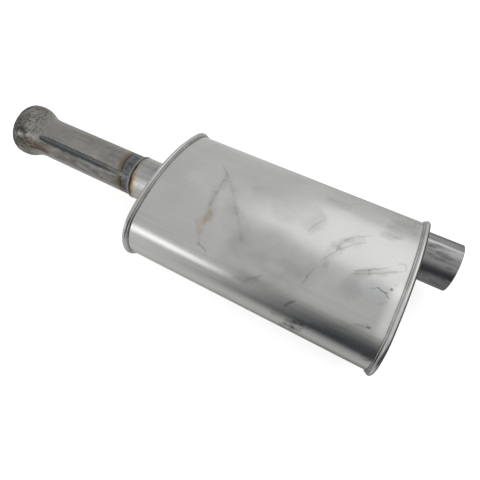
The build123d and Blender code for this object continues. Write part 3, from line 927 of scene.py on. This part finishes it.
joint_sizes, neck_sizes = (2.7, 2.2, 2.1, 0.22, 1.1), (2.3, 2.3, 2.4, 0.3, 0.8)
joint_bead = ring_bead("pipe_joint_bead", JOINT_PLACE, 0, JOINT_RADIUS, joint_sizes, 3.0)
depth, radius = HEAD_RECESS - NECK_BEAD_OVERLAP, TUBE_RADIUS + NECK_BEAD_OVERLAP
inlet_neck_bead = ring_bead("inlet_neck_bead", BODY_FRONT + depth, 0, radius, neck_sizes, 5.0)
outlet_neck_bead = ring_bead(
    "outlet_neck_bead", BODY_REAR - depth, OUTLET_SIDE, radius, neck_sizes, 8.0
)
seam_path = path_curve("pipe_seam_path", [(44 * MM, 0, 0), (212 * MM, 0, 0)], cyclic=False)
seam_sizes = (0.85, 3.3, 1.6, 0.08, 0.5)
seam_y, seam_z = PIPE_RADIUS * math.cos(PIPE_SEAM_ANGLE), PIPE_RADIUS * math.sin(PIPE_SEAM_ANGLE)
seam_turn = (PIPE_SEAM_ANGLE - math.pi / 2, 0, 0)
seam_bead = welded("pipe_seam_bead", seam_path, seam_sizes, 11.0, (0, seam_y, seam_z), seam_turn)

# %% [markdown]
# The baffles and the return tube are inside the closed can. Their solids already have the right
# shape, so they keep their meshes and only get a plain, slightly scaled steel.

# %% The finish of the inner parts
inner = Finish("plain_inner_steel")
inner_clouds = inner.noise(24.0, 4.0, (1, 1, 1), 3.0, 0.35, 0.65)
inner_grain = inner.noise(500.0, 3.0, (0.3, 1, 1), 6.0, 0.3, 0.7)
inner.tone = inner.blend(inner_clouds, (0.34, 0.335, 0.325), (0.44, 0.44, 0.435))
inner.shade(0.92 + inner_grain * 0.12)
inner.finish(0.38 + inner_clouds * 0.12, inner_grain, 0.00005, 0.4)
for node in ("front_baffle", "rear_baffle", "return_tube"):
    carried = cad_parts[node]
    if carried.material_slots:
        for kept_slot in carried.material_slots:
            kept_slot.material = inner.material
    else:
        carried.data.materials.append(inner.material)
    print(node, "keeps its solid and takes", inner.material.name)

# %% [markdown]
# Every piece now joins the frame. A piece that stands for a solid hides it. The beads at the two
# necks stand for no solid, so they are only added.

# %% Tie the pieces to the frame
links = [
    (wrap, "aluminised_sheet", ["shell"]),
    (lock_seam, "aluminised_sheet", []),
    (inlet_head, "aluminised_sheet", ["inlet_head"]),
    (outlet_head, "aluminised_sheet", ["outlet_head"]),
    (inlet_tube, "tube_steel", ["inlet_tube"]),
    (outlet_tube, "tube_steel", ["outlet_tube"]),
    (pipe, "raw_pipe", ["inlet_pipe"]),
    (joint_bead, "weld_bead", ["pipe_welds"]),
    (seam_bead, "weld_bead", []),
    (inlet_neck_bead, "weld_bead", []),
    (outlet_neck_bead, "weld_bead", []),
]
for piece, slot_name, solids in links:
    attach(piece, "root")
    if solids:
        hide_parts(*solids)
print("pieces tied to the frame:", len(links))

# %% [markdown]
# The photograph was taken on white, from above and a little to the front. Its light can be read
# off the metal: a bright strip low at the front left, a large soft source high behind, and
# something dark in front on the right. The floor glows like a light table, which keeps the
# object's shadow faint. Metal shows what stands around it, so three cards are hung that only
# reflections see: a dark flag in front, another beyond the outlet, and a grey card just over the
# floor, dimmer towards the right.

# %% The floor and the cards
FLOOR_GAP, CARD_LIFT, FLAG_Y, RIGHT_FLAG_X = 0.0002, 0.001, -0.33, 1.0


def sheet_of(name, corners, paint):
    """One flat stage piece with a finish."""
    mesh = bpy.data.meshes.new(name)
    mesh.from_pydata(corners, [], [(0, 1, 2, 3)])
    mesh.materials.append(paint.material)
    piece = placed(name, mesh)
    return piece


def level(left, front, right, back, height):
    """The corners of a sheet that lies flat."""
    return [(left, front, height), (right, front, height), (right, back, height), (left, back, height)]


def upright(start, end, top):
    """The corners of a sheet that stands on the floor between two (x, y) places."""
    return [(*start, floor_height), (*end, floor_height), (*end, top), (*start, top)]


def glowing_paint(name, body, glow, strength):
    """A matt stage finish of a given grey that also gives off light."""
    paint = Finish(name, 0.0)
    paint.shader["Base Color"].default_value = (body, body, body, 1)
    paint.shader["Roughness"].default_value = 0.9
    paint.shader["Specular IOR Level"].default_value = 0.0
    paint.shader["Emission Color"].default_value = (*glow, 1)
    paint.shader["Emission Strength"].default_value = strength
    return paint


floor_paint = glowing_paint("light_table_white", 0.86, (1, 1, 1), 0.62)
floor_height = cad_box[0].z - FLOOR_GAP
floor = sheet_of("floor", level(-5, -5, 6, 6, floor_height), floor_paint)

black_card = glowing_paint("black_card", 0.0, (0.042, 0.047, 0.058), 1.0)
card_cover = black_card.rise(black_card.x, 0.15, 0.62) * black_card.rise(black_card.z, 0.50, 0.0)
black_card.give(black_card.shader["Alpha"], card_cover)
flag = sheet_of("flag", upright((0.0, FLAG_Y), (1.6, FLAG_Y), 0.55), black_card)

grey_card = glowing_paint("grey_card", 0.0, (1, 1, 1), 1.0)
towards_right = grey_card.rise(grey_card.x, 0.15, 0.60)
towards_flag = grey_card.rise(grey_card.y, -0.17, -0.30)
past_the_end = grey_card.rise(grey_card.x, 0.60, 0.72)
# The card is darker beside the body, a painted shadow, and a little brighter right under it.
beside_body = grey_card.band(grey_card.y, -0.128, 0.128, 0.012)
under_body = grey_card.band(grey_card.y, -0.100, 0.100, 0.005)
card_tone = 0.72 * (1.0 - towards_right * (0.20 + towards_flag * 0.5)) * (1.0 - past_the_end * 0.5)
card_tone = card_tone * (1.0 - beside_body * (0.22 + towards_right * 0.32) + under_body * 0.08)
card_glow = grey_card.blend(card_tone, (0.0, 0.0, 0.0), (1.0, 1.0, 1.0))
grey_card.give(grey_card.shader["Emission Color"], card_glow)
floor_card = sheet_of("floor_card", level(-2, -3, 3, 3, floor_height + CARD_LIFT), grey_card)
right_flag = sheet_of(
    "right_flag", upright((RIGHT_FLAG_X, -0.7), (RIGHT_FLAG_X, 1.0), 0.40), black_card
)
for card in (flag, floor_card, right_flag):
    card.visible_camera = card.visible_diffuse = card.visible_shadow = False
    card.visible_transmission = card.visible_volume_scatter = False
print("stage:", floor.name, flag.name, floor_card.name, right_flag.name)

# %% The lights
world = bpy.data.worlds.new("pale_room")
bpy.context.scene.world = world
world.use_nodes = True
background = world.node_tree.nodes["Background"].inputs
background["Color"].default_value = (1, 1, 1, 1)
background["Strength"].default_value = 0.66
BODY_MIDDLE = Vector((0.43, 0, 0))


def softbox(name, azimuth, elevation, distance, width, height, radiance):
    """An area light that looks at the middle of the body, as bright as it should look."""
    a, e = math.radians(azimuth), math.radians(elevation)
    towards = Vector((math.cos(e) * math.cos(a), math.cos(e) * math.sin(a), math.sin(e)))
    light = bpy.data.lights.new(name, "AREA")
    light.shape = "RECTANGLE"
    light.size, light.size_y = width, height
    light.energy = radiance * math.pi * width * height
    lamp = placed(name, light)
    lamp.location = BODY_MIDDLE + towards * distance
    lamp.rotation_euler = towards.to_track_quat("Z", "Y").to_euler()
    print(name, "at", [round(v, 2) for v in lamp.location])


softbox("high_back_softbox", 70, 52, 1.7, 1.5, 1.5, 0.52)
softbox("front_left_strip", -121, 20, 1.2, 0.62, 0.30, 1.35)

# %% The camera
camera_data = bpy.data.cameras.new("camera")
camera_data.lens = 30.69
camera_data.sensor_width = 36
camera_data.clip_start = 0.01
camera_data.shift_x = 0.0096
camera_data.shift_y = -0.0329
camera = placed("camera", camera_data)
right, up = (0.87658, 0.48126, 0.00126), (-0.39620, 0.72015, 0.56956)
back, eye = (0.27320, -0.49977, 0.82195), (0.5280, -0.2850, 0.4583)
camera.matrix_world = Matrix((*zip(right, up, back, eye), (0, 0, 0, 1)))
bpy.context.scene.camera = camera
bpy.context.scene.view_settings.view_transform = "Standard"
print("camera lens", camera_data.lens)

# %% Sizes
print("cad box", [round(v, 4) for v in (*cad_box[0], *cad_box[1])])
